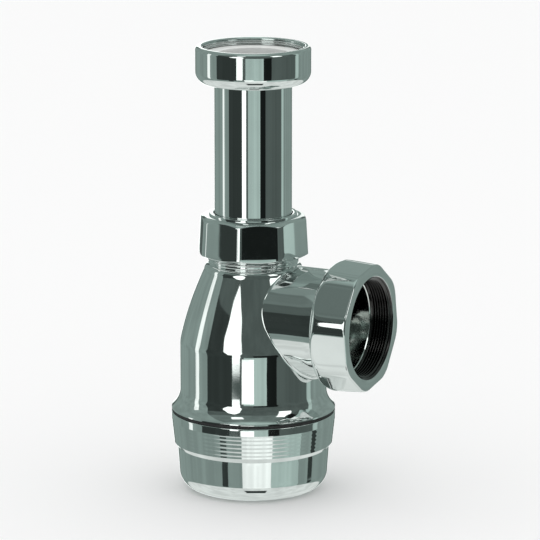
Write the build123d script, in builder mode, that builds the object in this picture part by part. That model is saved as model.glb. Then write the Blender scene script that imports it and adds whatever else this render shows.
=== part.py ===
from build123d import *
import os
from math import cos, pi

# A chrome bottle trap for a basin waste, in millimetres.
# The origin is the centre of the bowl's underside. +Z is up and the outlet leaves along +X.

# The sizes that the rest follows
tube_r = 16.0
flange_r = 34.1
connection_thread_r = 20.95

# Clearances
face_gap = 0.05
seal_gap = 0.15
thread_gap = 0.15
ring_gap = 0.3
clear = 0.35

# Bowl
bowl_wall_set_in = 2.5
bowl_wall_draft = 0.7
bowl_corner_r = 8.0
bowl_step_low_z = 17.8
bowl_step_height = 2.8
bowl_band_draft = 1.1
bowl_band_height = 9.2
bowl_lip_height = 3.2
bowl_wall = 2.6
bowl_floor = 3.0
bowl_step_rounding = 0.8
bowl_rim_rounding = 0.3

# Gasket between the bowl's rim and the body's flange
gasket_thickness = 1.4
gasket_set_in = 0.2

# Trap body, outside
body_set_in = 3.6
flange_lip = 0.8
flange_rounding = 0.4
flare_mid_rise = 5.3
flare_mid_out = 1.1
flare_height = 9.4
cylinder_height = 17.7
dome_low_rise = 10.5
dome_low_in = 2.05
dome_mid_rise = 20.7
dome_mid_in = 5.55
dome_height = 31.8
dome_top_out = 2.0
shoulder_rise = 1.7
shoulder_out = 1.3
neck_foot_rise = 2.5
neck_wall = 2.05
neck_height = 11.8
neck_ridge = 0.35
neck_pitch = 1.5
neck_ridge_count = 7

# Trap body, inside
body_wall = 2.5
spigot_set_in = 3.1
spigot_wall = 3.0
spigot_length = 11.2
chamber_roof_drop = 6.3
chamber_roof_r = 20.2
socket_step = 2.15
socket_depth = 5.6
socket_wall = 2.1
seat_depth = 1.8
seat_flare = 1.4

# Outlet branch and the collar round its mouth
outlet_rise = 11.7
branch_r = 22.4
branch_wall = 3.0
branch_fillet = 1.6
collar_sides = 8
collar_across_flats = 52.6
collar_draft_deg = 3.5
collar_turn_deg = 13.0
collar_corner_rounding = 12.0
collar_turned_r = 27.1
collar_back_x = 37.0
collar_back_mid_x = 38.4
collar_back_mid_r = 26.0
collar_full_x = 41.5
collar_dome_x = 51.2
collar_front_x = 54.1
collar_front_r = 26.1
collar_thread_length = 9.2
mouth_chamfer = 0.5

# Dip tube, pressed up into a socket in the body
dip_fit = 0.05
dip_wall = 1.8
dip_bottom_z = 10.0

# Inlet tube
tube_wall = 1.0
tube_length = 120.4
tube_showing = 72.8
tube_flange_width = 3.6
tube_flange_thickness = 1.5

# Coupling nut and washer at the top
coupling_wall = 2.9
coupling_height = 15.5
coupling_drop = 9.3
coupling_low_rounding = 5.0
coupling_top_rounding = 1.9
coupling_floor = 3.2
coupling_thread_length = 2.6
coupling_relief = 0.4
washer_thickness = 3.0
washer_fit = 0.25

# Compression nut, slip ring and cone seal on the neck
nut_rise = 3.1
nut_wall = 3.3
nut_sides = 8
nut_turn_deg = -34.8
nut_corner_rounding = 0.8
nut_height = 17.2
nut_foot_r = 20.4
nut_foot_taper = 2.0
nut_crown_height = 4.5
nut_crown_mid_r = 22.3
nut_crown_mid_drop = 1.4
nut_rim_wall = 1.85
nut_rim_height = 0.9
seal_height = 4.1
ring_thickness = 1.2

# Heights, from the bowl's underside up
bowl_step_high_z = bowl_step_low_z + bowl_step_height
bowl_band_full_z = bowl_step_high_z + bowl_band_height
bowl_rim_z = bowl_band_full_z + bowl_lip_height
flange_z = bowl_rim_z + gasket_thickness
spigot_bottom_z = flange_z - spigot_length
bowl_ledge_z = spigot_bottom_z - gasket_thickness
flare_mid_z = flange_z + flare_mid_rise
flare_top_z = flange_z + flare_height
cylinder_top_z = flare_top_z + cylinder_height
outlet_z = cylinder_top_z + outlet_rise
dome_low_z = cylinder_top_z + dome_low_rise
dome_mid_z = cylinder_top_z + dome_mid_rise
dome_top_z = cylinder_top_z + dome_height
shoulder_z = dome_top_z + shoulder_rise
neck_foot_z = dome_top_z + neck_foot_rise
neck_top_z = neck_foot_z + neck_height
chamber_roof_z = dome_top_z - chamber_roof_drop
dip_top_z = chamber_roof_z + socket_depth
seat_low_z = neck_top_z - seat_depth
seal_top_z = seat_low_z + seal_height
ring_bottom_z = seal_top_z + face_gap
ring_top_z = ring_bottom_z + ring_thickness
nut_bottom_z = neck_foot_z + nut_rise
nut_roof_z = ring_top_z + face_gap
nut_crown_top_z = nut_bottom_z + nut_height
nut_crown_low_z = nut_crown_top_z - nut_crown_height
nut_crown_mid_z = nut_crown_top_z - nut_crown_mid_drop
nut_rim_z = nut_crown_top_z + nut_rim_height
tube_top_z = neck_top_z + tube_showing
tube_bottom_z = tube_top_z - tube_length
coupling_bottom_z = tube_top_z - coupling_drop
coupling_top_z = coupling_bottom_z + coupling_height
washer_bottom_z = tube_top_z + face_gap
thread_foot_z = coupling_top_z - mouth_chamfer - coupling_thread_length

# Radii, from the axis out
tube_bore_r = tube_r - tube_wall
tube_flange_r = tube_r + tube_flange_width
bore_r = tube_r + clear
dip_socket_r = bore_r + socket_step
dip_tube_r = dip_socket_r - dip_fit
neck_r = bore_r + neck_wall
shoulder_r = neck_r + shoulder_out
dome_top_r = neck_r + dome_top_out
body_r = flange_r - body_set_in
dome_low_r = body_r - dome_low_in
dome_mid_r = body_r - dome_mid_in
flare_mid_r = body_r + flare_mid_out
spigot_r = flange_r - spigot_set_in
bowl_thread_r = spigot_r + thread_gap
bowl_band_low_r = flange_r - bowl_band_draft
bowl_wall_top_r = flange_r - bowl_wall_set_in
bowl_wall_low_r = bowl_wall_top_r - bowl_wall_draft
bowl_floor_r = bowl_wall_low_r - bowl_corner_r
bowl_inner_corner_r = bowl_corner_r - bowl_wall
nut_bore_r = neck_r + neck_ridge + thread_gap
nut_apothem = nut_bore_r + nut_wall
nut_corner_r = nut_apothem / cos(pi / nut_sides)
nut_rim_r = bore_r + nut_rim_wall
coupling_r = connection_thread_r + coupling_wall
coupling_relief_r = connection_thread_r + coupling_relief
washer_r = connection_thread_r - washer_fit
branch_bore_r = branch_r - branch_wall
branch_bore_start_x = dip_socket_r + socket_wall
collar_step_x = collar_front_x - mouth_chamfer - collar_thread_length


def corners(sketch, *points):
    """The sketch's vertices that lie at the given places."""
    return [sketch.vertices().sort_by_distance(Vector(r, z))[0] for r, z in points]


# Bowl: a turned cup with a wider band where the thread is
with BuildPart() as bowl:
    with BuildSketch(Plane.XZ) as bowl_section:
        with BuildLine():
            Line((0, 0), (bowl_floor_r, 0))
            outer_corner = JernArc((bowl_floor_r, 0), (1, 0), bowl_corner_r, 90)
            Polyline(
                outer_corner @ 1,
                (bowl_wall_top_r, bowl_step_low_z),
                (bowl_band_low_r, bowl_step_high_z),
                (flange_r, bowl_band_full_z),
                (flange_r, bowl_rim_z),
                (bowl_thread_r, bowl_rim_z),
                (bowl_thread_r, bowl_ledge_z),
                (bowl_wall_top_r - bowl_wall, bowl_ledge_z),
                (bowl_wall_top_r - bowl_wall, bowl_step_low_z),
                (bowl_wall_low_r - bowl_wall, bowl_floor + bowl_inner_corner_r),
            )
            inner_corner = JernArc((bowl_floor_r, bowl_floor), (1, 0), bowl_inner_corner_r, 90)
            Polyline(inner_corner @ 0, (0, bowl_floor), (0, 0))
        make_face()
        fillet(
            corners(
                bowl_section,
                (bowl_wall_top_r, bowl_step_low_z),
                (bowl_band_low_r, bowl_step_high_z),
            ),
            bowl_step_rounding,
        )
        fillet(
            corners(bowl_section, (flange_r, bowl_rim_z), (bowl_thread_r, bowl_rim_z)),
            bowl_rim_rounding,
        )
    revolve(axis=Axis.Z)

# Gasket: a flat ring round the spigot
with BuildPart() as bowl_gasket:
    with BuildSketch(Plane.XY.offset(bowl_rim_z + face_gap)):
        Circle(flange_r - gasket_set_in)
        Circle(spigot_r + ring_gap, mode=Mode.SUBTRACT)
    extrude(amount=gasket_thickness - 2 * face_gap)

# Collar round the outlet's mouth: a turned ring with eight cast flats
with BuildPart() as collar:
    with BuildSketch(Plane.YZ.offset(collar_back_x)) as collar_outline:
        with Locations((0, outlet_z)):
            RegularPolygon(
                collar_across_flats / 2,
                collar_sides,
                major_radius=False,
                rotation=-collar_turn_deg,
            )
        fillet(collar_outline.vertices(), collar_corner_rounding)
    extrude(amount=collar_front_x - collar_back_x, taper=collar_draft_deg)
    with BuildSketch(Plane.XZ):
        with BuildLine():
            Line((collar_back_x, outlet_z), (collar_back_x, outlet_z + branch_r))
            ThreePointArc(
                (collar_back_x, outlet_z + branch_r),
                (collar_back_mid_x, outlet_z + collar_back_mid_r),
                (collar_full_x, outlet_z + collar_turned_r),
            )
            Line(
                (collar_full_x, outlet_z + collar_turned_r),
                (collar_dome_x, outlet_z + collar_turned_r),
            )
            TangentArc(
                (collar_dome_x, outlet_z + collar_turned_r),
                (collar_front_x, outlet_z + collar_front_r),
                tangent=(1, 0),
            )
            Polyline(
                (collar_front_x, outlet_z + collar_front_r),
                (collar_front_x, outlet_z),
                (collar_back_x, outlet_z),
            )
        make_face()
    revolve(axis=Axis((0, 0, outlet_z), (1, 0, 0)), mode=Mode.INTERSECT)

# Trap body: the turned outside, then the branch and the collar, then the waterways
with BuildPart() as trap_body:
    with BuildSketch(Plane.XZ) as body_section:
        with BuildLine():
            Polyline(
                (0, spigot_bottom_z),
                (spigot_r, spigot_bottom_z),
                (spigot_r, flange_z),
                (flange_r, flange_z),
                (flange_r, flange_z + flange_lip),
            )
            ThreePointArc(
                (flange_r, flange_z + flange_lip), (flare_mid_r, flare_mid_z), (body_r, flare_top_z)
            )
            Line((body_r, flare_top_z), (body_r, cylinder_top_z))
            TangentArc((body_r, cylinder_top_z), (dome_low_r, dome_low_z), tangent=(0, 1))
            ThreePointArc(
                (dome_low_r, dome_low_z), (dome_mid_r, dome_mid_z), (dome_top_r, dome_top_z)
            )
            ThreePointArc(
                (dome_top_r, dome_top_z), (shoulder_r, shoulder_z), (neck_r, neck_foot_z)
            )
            Polyline(
                (neck_r, neck_foot_z), (neck_r, neck_top_z), (0, neck_top_z), (0, spigot_bottom_z)
            )
        make_face()
        fillet(
            corners(body_section, (flange_r, flange_z + flange_lip)),
            flange_rounding,
        )
    revolve(axis=Axis.Z)
    with BuildSketch(Plane.YZ):
        with Locations((0, outlet_z)):
            Circle(branch_r)
    extrude(amount=collar_back_x)
    saddle = trap_body.edges().filter_by(GeomType.BSPLINE)
    fillet(saddle, branch_fillet)
    # the neck's thread, drawn as rings at its real pitch
    with BuildSketch(Plane.XZ):
        with BuildLine():
            for turn in range(neck_ridge_count):
                foot = neck_foot_z + turn * neck_pitch
                ThreePointArc(
                    (neck_r, foot),
                    (neck_r + neck_ridge, foot + neck_pitch / 2),
                    (neck_r, foot + neck_pitch),
                )
            thread_top_z = neck_foot_z + neck_ridge_count * neck_pitch
            Polyline(
                (neck_r, thread_top_z), (bore_r, thread_top_z), (bore_r, neck_foot_z), (neck_r, neck_foot_z)
            )
        make_face()
    revolve(axis=Axis.Z)
    add(collar.part)
    # the waterways
    with BuildSketch(Plane.XZ):
        with BuildLine():
            Polyline(
                (0, spigot_bottom_z),
                (spigot_r - spigot_wall, spigot_bottom_z),
                (body_r - body_wall, cylinder_top_z),
                (dome_low_r - body_wall, dome_low_z),
                (dome_mid_r - body_wall, dome_mid_z),
                (chamber_roof_r, chamber_roof_z),
                (dip_socket_r, chamber_roof_z),
                (dip_socket_r, dip_top_z),
                (bore_r, dip_top_z),
                (bore_r, seat_low_z),
                (bore_r + seat_flare, neck_top_z),
                (0, neck_top_z),
                (0, spigot_bottom_z),
            )
        make_face()
    revolve(axis=Axis.Z, mode=Mode.SUBTRACT)
    with BuildSketch(Plane.YZ.offset(branch_bore_start_x)):
        with Locations((0, outlet_z)):
            Circle(branch_bore_r)
    extrude(amount=collar_step_x - branch_bore_start_x, mode=Mode.SUBTRACT)
    with BuildSketch(Plane.YZ.offset(collar_step_x)):
        with Locations((0, outlet_z)):
            Circle(connection_thread_r)
    extrude(amount=collar_thread_length, mode=Mode.SUBTRACT)
    with BuildSketch(Plane.YZ.offset(collar_front_x - mouth_chamfer)):
        with Locations((0, outlet_z)):
            Circle(connection_thread_r)
    extrude(amount=mouth_chamfer, taper=-45, mode=Mode.SUBTRACT)

# Dip tube
with BuildPart() as dip_tube:
    with BuildSketch(Plane.XY.offset(dip_bottom_z)):
        Circle(dip_tube_r)
        Circle(dip_tube_r - dip_wall, mode=Mode.SUBTRACT)
    extrude(amount=dip_top_z - dip_bottom_z)

# Inlet tube: its top end is turned out into a flange for the washer
with BuildPart() as inlet_tube:
    with BuildSketch(Plane.XZ) as tube_section:
        with BuildLine():
            Polyline(
                (tube_bore_r, tube_bottom_z),
                (tube_r, tube_bottom_z),
                (tube_r, tube_top_z - tube_flange_thickness),
                (tube_flange_r, tube_top_z - tube_flange_thickness),
                (tube_flange_r, tube_top_z),
                (tube_bore_r, tube_top_z),
                close=True,
            )
        make_face()
    revolve(axis=Axis.Z)

# Coupling nut: round, with an inside thread at its mouth
with BuildPart() as coupling_nut:
    with BuildSketch(Plane.XZ) as coupling_section:
        with BuildLine():
            Polyline(
                (bore_r, coupling_bottom_z),
                (coupling_r, coupling_bottom_z),
                (coupling_r, coupling_top_z),
                (connection_thread_r + mouth_chamfer, coupling_top_z),
                (connection_thread_r, coupling_top_z - mouth_chamfer),
                (connection_thread_r, thread_foot_z),
                (coupling_relief_r, thread_foot_z),
                (coupling_relief_r, coupling_bottom_z + coupling_floor),
                (bore_r, coupling_bottom_z + coupling_floor),
                close=True,
            )
        make_face()
        fillet(corners(coupling_section, (coupling_r, coupling_bottom_z)), coupling_low_rounding)
        fillet(corners(coupling_section, (coupling_r, coupling_top_z)), coupling_top_rounding)
    revolve(axis=Axis.Z)

# Washer in the coupling nut
with BuildPart() as inlet_washer:
    with BuildSketch(Plane.XY.offset(washer_bottom_z)):
        Circle(washer_r)
        Circle(tube_bore_r, mode=Mode.SUBTRACT)
    extrude(amount=washer_thickness)

# Compression nut: eight flats, turned at the foot and the crown
with BuildPart() as compression_nut:
    with BuildSketch(Plane.XY.offset(nut_bottom_z)) as nut_outline:
        RegularPolygon(
            nut_apothem, nut_sides, major_radius=False, rotation=nut_turn_deg
        )
        fillet(nut_outline.vertices(), nut_corner_rounding)
    extrude(amount=nut_crown_top_z - nut_bottom_z)
    with BuildSketch(Plane.XZ):
        with BuildLine():
            Polyline(
                (0, nut_bottom_z),
                (nut_foot_r, nut_bottom_z),
                (nut_corner_r, nut_bottom_z + nut_foot_taper),
                (nut_corner_r, nut_crown_low_z),
            )
            ThreePointArc(
                (nut_corner_r, nut_crown_low_z),
                (nut_crown_mid_r, nut_crown_mid_z),
                (nut_rim_r, nut_crown_top_z),
            )
            Polyline((nut_rim_r, nut_crown_top_z), (0, nut_crown_top_z), (0, nut_bottom_z))
        make_face()
    revolve(axis=Axis.Z, mode=Mode.INTERSECT)
    with BuildSketch(Plane.XY.offset(nut_roof_z)):
        Circle(nut_rim_r)
    extrude(amount=nut_rim_z - nut_roof_z)
    with BuildSketch(Plane.XY.offset(nut_bottom_z)):
        Circle(nut_bore_r)
    extrude(amount=nut_roof_z - nut_bottom_z, mode=Mode.SUBTRACT)
    with BuildSketch(Plane.XY.offset(nut_roof_z)):
        Circle(bore_r)
    extrude(amount=nut_rim_z - nut_roof_z, mode=Mode.SUBTRACT)

# Slip ring between the seal and the nut
with BuildPart() as slip_ring:
    with BuildSketch(Plane.XY.offset(ring_bottom_z)):
        Circle(nut_bore_r - clear)
        Circle(tube_r + ring_gap, mode=Mode.SUBTRACT)
    extrude(amount=ring_thickness)

# Cone seal: its lower half fills the taper in the neck
with BuildPart() as cone_seal:
    with BuildSketch(Plane.XZ):
        with BuildLine():
            Polyline(
                (tube_r + seal_gap, seat_low_z + face_gap),
                (bore_r, seat_low_z + face_gap),
                (bore_r + seat_flare - seal_gap, neck_top_z),
                (bore_r + seat_flare - seal_gap, seal_top_z),
                (tube_r + seal_gap, seal_top_z),
                close=True,
            )
        make_face()
    revolve(axis=Axis.Z)

pieces = {
    "trap_body": trap_body,
    "dip_tube": dip_tube,
    "bowl": bowl,
    "bowl_gasket": bowl_gasket,
    "compression_nut": compression_nut,
    "slip_ring": slip_ring,
    "cone_seal": cone_seal,
    "inlet_tube": inlet_tube,
    "coupling_nut": coupling_nut,
    "inlet_washer": inlet_washer,
}
os.makedirs("parts", exist_ok=True)
for name, piece in pieces.items():
    piece.part.label = name
    export_step(piece.part, f"parts/{name}.step")
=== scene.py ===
"""A chrome bottle trap: detailed meshes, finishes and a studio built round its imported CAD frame.

Sizes are millimetres until a mesh is made, and metres from there on. The trap stands on its bowl at
the origin, +Z runs up the inlet tube and the outlet leaves along +X.
"""

import logging
import math
from dataclasses import dataclass
from enum import Enum

import bmesh
import bpy
import numpy as np
from mathutils import Matrix, Vector


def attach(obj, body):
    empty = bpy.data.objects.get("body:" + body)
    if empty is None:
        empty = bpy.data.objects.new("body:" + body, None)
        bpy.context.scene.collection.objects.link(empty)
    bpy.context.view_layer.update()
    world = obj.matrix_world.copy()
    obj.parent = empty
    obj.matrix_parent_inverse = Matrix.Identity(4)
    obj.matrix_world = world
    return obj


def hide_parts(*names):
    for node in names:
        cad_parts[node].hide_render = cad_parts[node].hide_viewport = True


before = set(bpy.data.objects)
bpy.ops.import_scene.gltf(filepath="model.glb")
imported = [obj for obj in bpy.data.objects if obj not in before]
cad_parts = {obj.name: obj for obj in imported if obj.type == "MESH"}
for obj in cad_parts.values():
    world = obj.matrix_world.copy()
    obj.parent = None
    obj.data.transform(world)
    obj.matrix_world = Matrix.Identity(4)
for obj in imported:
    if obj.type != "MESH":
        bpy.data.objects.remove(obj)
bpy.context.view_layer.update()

MM = 0.001
PIPE_PITCH = 2.309
SHOWN_PITCH = PIPE_PITCH / 2
LOG = logging.getLogger("bottle_trap")

Point = tuple[float, float]
Colour = tuple[float, float, float]

CHROME: Colour = (0.83, 0.85, 0.845)
PLATED: Colour = (0.88, 0.9, 0.88)
# near-black colour for the threaded mouth: painted shade that stands in for the dark inside its recess
TAPPED_PAINTED_SHADE: Colour = (0.1, 0.094, 0.094)
RUBBER: Colour = (0.018, 0.018, 0.019)
NYLON: Colour = (0.84, 0.86, 0.84)


class Facing(Enum):
    """Which way a helical thread looks."""

    OUTWARD = "outward"
    INWARD = "inward"


class Slot(Enum):
    """The record's material slots."""

    CHROME = "chrome_plate"
    RUBBER = "black_rubber"
    NYLON = "white_nylon"


class Outline:
    """A turned section drawn point by point as (radius, height) in millimetres."""

    def __init__(self, radius: float, height: float) -> None:
        """Start the section at one point."""
        self.points: list[Point] = [(radius, height)]
        self.heading: Point = (0.0, 1.0)

    def to(self, radius: float, height: float, steps: int = 1) -> "Outline":
        """Draw a straight line.

        Args:
            radius: Radius of the line's end.
            height: Height of the line's end.
            steps: Number of equal pieces the line is cut into.

        Returns:
            The outline, so that calls can follow each other.
        """
        r0, z0 = self.points[-1]
        for step in range(1, steps + 1):
            share = step / steps
            self.points.append((r0 + (radius - r0) * share, z0 + (height - z0) * share))
        return self

    def through(self, middle: Point, end: Point, steps: int = 16) -> "Outline":
        """Draw the arc through a middle point to an end point.

        Args:
            middle: A point on the arc.
            end: The arc's end.
            steps: Number of pieces in the arc.

        Returns:
            The outline, so that calls can follow each other.
        """
        start = self.points[-1]
        (ax, ay), (bx, by), (cx, cy) = start, middle, end
        d = 2 * (ax * (by - cy) + bx * (cy - ay) + cx * (ay - by))
        a2, b2, c2 = ax * ax + ay * ay, bx * bx + by * by, cx * cx + cy * cy
        ux = (a2 * (by - cy) + b2 * (cy - ay) + c2 * (ay - by)) / d
        uy = (a2 * (cx - bx) + b2 * (ax - cx) + c2 * (bx - ax)) / d
        radius = math.hypot(ax - ux, ay - uy)
        first = math.atan2(ay - uy, ax - ux)
        mid = (math.atan2(by - uy, bx - ux) - first) % math.tau
        sweep = (math.atan2(cy - uy, cx - ux) - first) % math.tau
        if mid > sweep:
            sweep -= math.tau
        for step in range(1, steps + 1):
            turn = first + sweep * step / steps
            self.points.append((ux + radius * math.cos(turn), uy + radius * math.sin(turn)))
        self.points[-1] = end
        return self

    def leaving(self, direction: Point, end: Point, steps: int = 16) -> "Outline":
        """Draw the arc that leaves the last point in a given direction.

        Args:
            direction: The arc's direction at its start.
            end: The arc's end.
            steps: Number of pieces in the arc.

        Returns:
            The outline, so that calls can follow each other.
        """
        start = self.points[-1]
        dx, dy = end[0] - start[0], end[1] - start[1]
        length = math.hypot(*direction)
        tx, ty = direction[0] / length, direction[1] / length
        side = 1.0 if tx * dy - ty * dx > 0 else -1.0
        nx, ny = -ty * side, tx * side
        radius = (dx * dx + dy * dy) / (2 * (dx * nx + dy * ny))
        cx, cy = start[0] + nx * radius, start[1] + ny * radius
        first = math.atan2(start[1] - cy, start[0] - cx)
        sweep = (math.atan2(end[1] - cy, end[0] - cx) - first) * side % math.tau
        for step in range(1, steps + 1):
            turn = first + side * sweep * step / steps
            self.points.append((cx + radius * math.cos(turn), cy + radius * math.sin(turn)))
        last = first + side * sweep
        self.heading = (-side * math.sin(last), side * math.cos(last))
        self.points[-1] = end
        return self

    def onward(self, end: Point, steps: int = 16) -> "Outline":
        """Draw the arc that carries on smoothly from the last one.

        Args:
            end: The arc's end.
            steps: Number of pieces in the arc.

        Returns:
            The outline, so that calls can follow each other.
        """
        return self.leaving(self.heading, end, steps)

    def soften(self, corner: Point, rounding: float, steps: int = 6) -> "Outline":
        """Round one corner of the finished section.

        Args:
            corner: The corner's place.
            rounding: The radius put there.
            steps: Number of pieces in the rounding.

        Returns:
            The outline, so that calls can follow each other.
        """
        count = len(self.points)
        index = min(range(count), key=lambda i: math.dist(self.points[i], corner))
        here = Vector(self.points[index])
        before = Vector(self.points[index - 1]) - here
        after = Vector(self.points[(index + 1) % count]) - here
        half = before.angle(after) / 2
        reach = min(rounding / math.tan(half), before.length * 0.98, after.length * 0.98)
        radius = reach * math.tan(half)
        centre = here + (before.normalized() + after.normalized()).normalized() * (
            radius / math.sin(half)
        )
        start = here + before.normalized() * reach - centre
        end = here + after.normalized() * reach - centre
        curve = []
        for step in range(steps + 1):
            spoke = start.lerp(end, step / steps).normalized() * radius
            curve.append(tuple(centre + spoke))
        self.points[index : index + 1] = curve
        return self


def polygon_radius(
    angle: np.ndarray, apothem: float, sides: int, turn: float, rounding: float
) -> np.ndarray:
    """Give the radius of a regular polygon with rounded corners.

    Args:
        angle: Angles round the axis, in radians.
        apothem: Distance from the axis to a flat.
        sides: Number of flats.
        turn: Angle of one corner, in radians.
        rounding: Radius of the corners.

    Returns:
        The radius at each angle.
    """
    half = math.pi / sides
    off_corner = np.abs((angle - turn + half) % (2 * half) - half)
    flat = apothem / np.cos(half - off_corner)
    centre = (apothem - rounding) / math.cos(half)
    limit = half - np.arctan((apothem - rounding) * math.tan(half) / apothem)
    inside = np.maximum(rounding**2 - (centre * np.sin(off_corner)) ** 2, 0)
    corner = centre * np.cos(off_corner) + np.sqrt(inside)
    return np.where(off_corner < limit, corner, flat)


def soft_min(first: float, second: np.ndarray, softness: float) -> np.ndarray:
    """Give the smaller of two surfaces, with the edge between them softened."""
    low = np.minimum(first, second)
    gap = np.abs(first - second)
    return low - softness * np.log1p(np.exp(-gap / softness))


def finish_mesh(
    name: str, vertices: np.ndarray, faces: list[tuple[int, ...]], sharp_deg: float = 32.0
) -> bpy.types.Object:
    """Make a closed, outward-facing, smoothly shaded object from points and faces.

    Args:
        name: Name of the piece.
        vertices: Points in millimetres.
        faces: Point numbers of each face.
        sharp_deg: Edges that turn by more than this stay crisp.

    Returns:
        The object, at the origin and in metres.
    """
    mesh = bpy.data.meshes.new(name)
    mesh.from_pydata((vertices * MM).tolist(), [], faces)
    work = bmesh.new()
    work.from_mesh(mesh)
    bmesh.ops.remove_doubles(work, verts=work.verts, dist=1e-7)
    bmesh.ops.dissolve_degenerate(work, dist=1e-8, edges=work.edges)
    bmesh.ops.recalc_face_normals(work, faces=work.faces)
    work.to_mesh(mesh)
    work.free()
    mesh.shade_smooth()
    mesh.set_sharp_from_angle(angle=math.radians(sharp_deg))
    piece = bpy.data.objects.new(name, mesh)
    bpy.context.scene.collection.objects.link(piece)
    return piece


def shell_from_rows(name: str, rows: np.ndarray, sharp_deg: float = 32.0) -> bpy.types.Object:
    """Make a closed shell from rings of points, where the last ring joins the first.

    Args:
        name: Name of the piece.
        rows: Array of rings by columns by xyz, in millimetres.
        sharp_deg: Edges that turn by more than this stay crisp.

    Returns:
        The object.
    """
    count, columns = rows.shape[:2]
    faces = []
    for row in range(count):
        low, high = row * columns, (row + 1) % count * columns
        for column in range(columns):
            beside = (column + 1) % columns
            faces.append((low + column, low + beside, high + beside, high + column))
    return finish_mesh(name, rows.reshape(-1, 3), faces, sharp_deg)


def turn_section(
    name: str, outline: Outline, segments: int = 256, sharp_deg: float = 32.0
) -> bpy.types.Object:
    """Spin a closed section about the trap's upright axis.

    Args:
        name: Name of the piece.
        outline: The closed section, whose last point joins the first.
        segments: Number of steps round the axis.
        sharp_deg: Edges that turn by more than this stay crisp.

    Returns:
        The object.
    """
    section = np.array(outline.points)
    angle = np.arange(segments) / segments * math.tau
    rows = np.empty((len(section), segments, 3))
    rows[:, :, 0] = section[:, :1] * np.cos(angle)
    rows[:, :, 1] = section[:, :1] * np.sin(angle)
    rows[:, :, 2] = section[:, 1:]
    return shell_from_rows(name, rows, sharp_deg)


class Bench:
    """A short way to lay out shader or geometry nodes."""

    def __init__(self, tree: bpy.types.NodeTree) -> None:
        """Work on one node tree."""
        self.tree = tree
        self.count = 0

    def add(self, kind: str, **settings: object) -> bpy.types.Node:
        """Add a node.

        Args:
            kind: Blender's name for the node type.
            **settings: Properties set on the node.

        Returns:
            The node.
        """
        node = self.tree.nodes.new(kind)
        node.location = (180 * (self.count % 12), -220 * (self.count // 12))
        self.count += 1
        for key, value in settings.items():
            setattr(node, key, value)
        return node

    def feed(self, socket: bpy.types.NodeSocket, value: object) -> None:
        """Link a socket to another, or give it a plain value."""
        if isinstance(value, bpy.types.NodeSocket):
            self.tree.links.new(value, socket)
        else:
            socket.default_value = value

    def math(self, operation: str, *values: object, clamp: bool = False) -> bpy.types.NodeSocket:
        """Add a Math node.

        Args:
            operation: The Math node's operation.
            *values: Numbers or sockets for its inputs.
            clamp: Whether the result stays between 0 and 1.

        Returns:
            The result's socket.
        """
        node = self.add("ShaderNodeMath", operation=operation, use_clamp=clamp)
        for socket, value in zip(node.inputs, values):
            self.feed(socket, value)
        return node.outputs[0]

    def span(
        self, value: object, low: float, high: float, to_low: float = 0.0, to_high: float = 1.0
    ) -> bpy.types.NodeSocket:
        """Map a range smoothly onto another, without passing its ends."""
        node = self.add("ShaderNodeMapRange", interpolation_type="SMOOTHSTEP")
        for socket, given in zip(node.inputs, (value, low, high, to_low, to_high)):
            self.feed(socket, given)
        return node.outputs[0]

    def noise(self, place: object, scale: float, detail: float) -> bpy.types.NodeSocket:
        """Add a Noise texture and give its height's socket."""
        node = self.add("ShaderNodeTexNoise")
        self.feed(node.inputs["Vector"], place)
        node.inputs["Scale"].default_value = scale
        node.inputs["Detail"].default_value = detail
        return node.outputs[0]

    def bump(
        self, height: bpy.types.NodeSocket, depth: float, under: bpy.types.NodeSocket | None = None
    ) -> bpy.types.NodeSocket:
        """Add a Bump node.

        Args:
            height: Socket of the pattern that lifts the surface.
            depth: Height of the pattern, in millimetres.
            under: Socket of a bump that lies under this one, if any.

        Returns:
            The normal's socket.
        """
        node = self.add("ShaderNodeBump")
        node.inputs["Strength"].default_value = 1.0
        node.inputs["Distance"].default_value = depth * MM
        self.feed(node.inputs["Height"], height)
        if under is not None:
            self.feed(node.inputs["Normal"], under)
        return node.outputs[0]

    def mix(self, share: object, first: object, second: object) -> bpy.types.NodeSocket:
        """Mix two colours.

        Args:
            share: How much of the second colour, from 0 to 1.
            first: A colour or socket.
            second: A colour or socket.

        Returns:
            The mixed colour's socket.
        """
        node = self.add("ShaderNodeMix", data_type="RGBA")
        self.feed(node.inputs["Factor"], share)
        colours = [s for s in node.inputs if s.type == "RGBA"]
        for socket, value in zip(colours, (first, second)):
            if isinstance(value, tuple):
                value = (*value, 1.0)
            self.feed(socket, value)
        return next(s for s in node.outputs if s.type == "RGBA")


@dataclass(frozen=True)
class Finish:
    """A surface finish with small, uneven changes of gloss and level."""

    name: str
    colour: Colour
    metallic: float
    roughness: float
    roughness_spread: float
    patch_scale: float
    ripple_depth: float
    ripple_scale: float
    grain_depth: float
    grain_scale: float
    shade: float = 0.96

    def build(self) -> bpy.types.Material:
        """Lay out the material's nodes.

        Returns:
            The material.
        """
        material = bpy.data.materials.new(self.name)
        material.use_nodes = True
        bench = Bench(material.node_tree)
        shader = material.node_tree.nodes["Principled BSDF"]
        place = bench.add("ShaderNodeTexCoord").outputs["Object"]

        patches = bench.noise(place, self.patch_scale, 3.0)
        dull = tuple(value * self.shade for value in self.colour)
        colour = bench.mix(bench.span(patches, 0.35, 0.7), self.colour, dull)
        bench.feed(shader.inputs["Base Color"], colour)
        roughest = self.roughness + self.roughness_spread
        gloss = bench.span(patches, 0.3, 0.75, self.roughness, roughest)
        bench.feed(shader.inputs["Roughness"], gloss)
        shader.inputs["Metallic"].default_value = self.metallic

        ripple = bench.noise(place, self.ripple_scale, 1.0)
        grain = bench.noise(place, self.grain_scale, 2.0)
        wide = bench.bump(ripple, self.ripple_depth)
        bench.feed(shader.inputs["Normal"], bench.bump(grain, self.grain_depth, wide))
        return material


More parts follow.
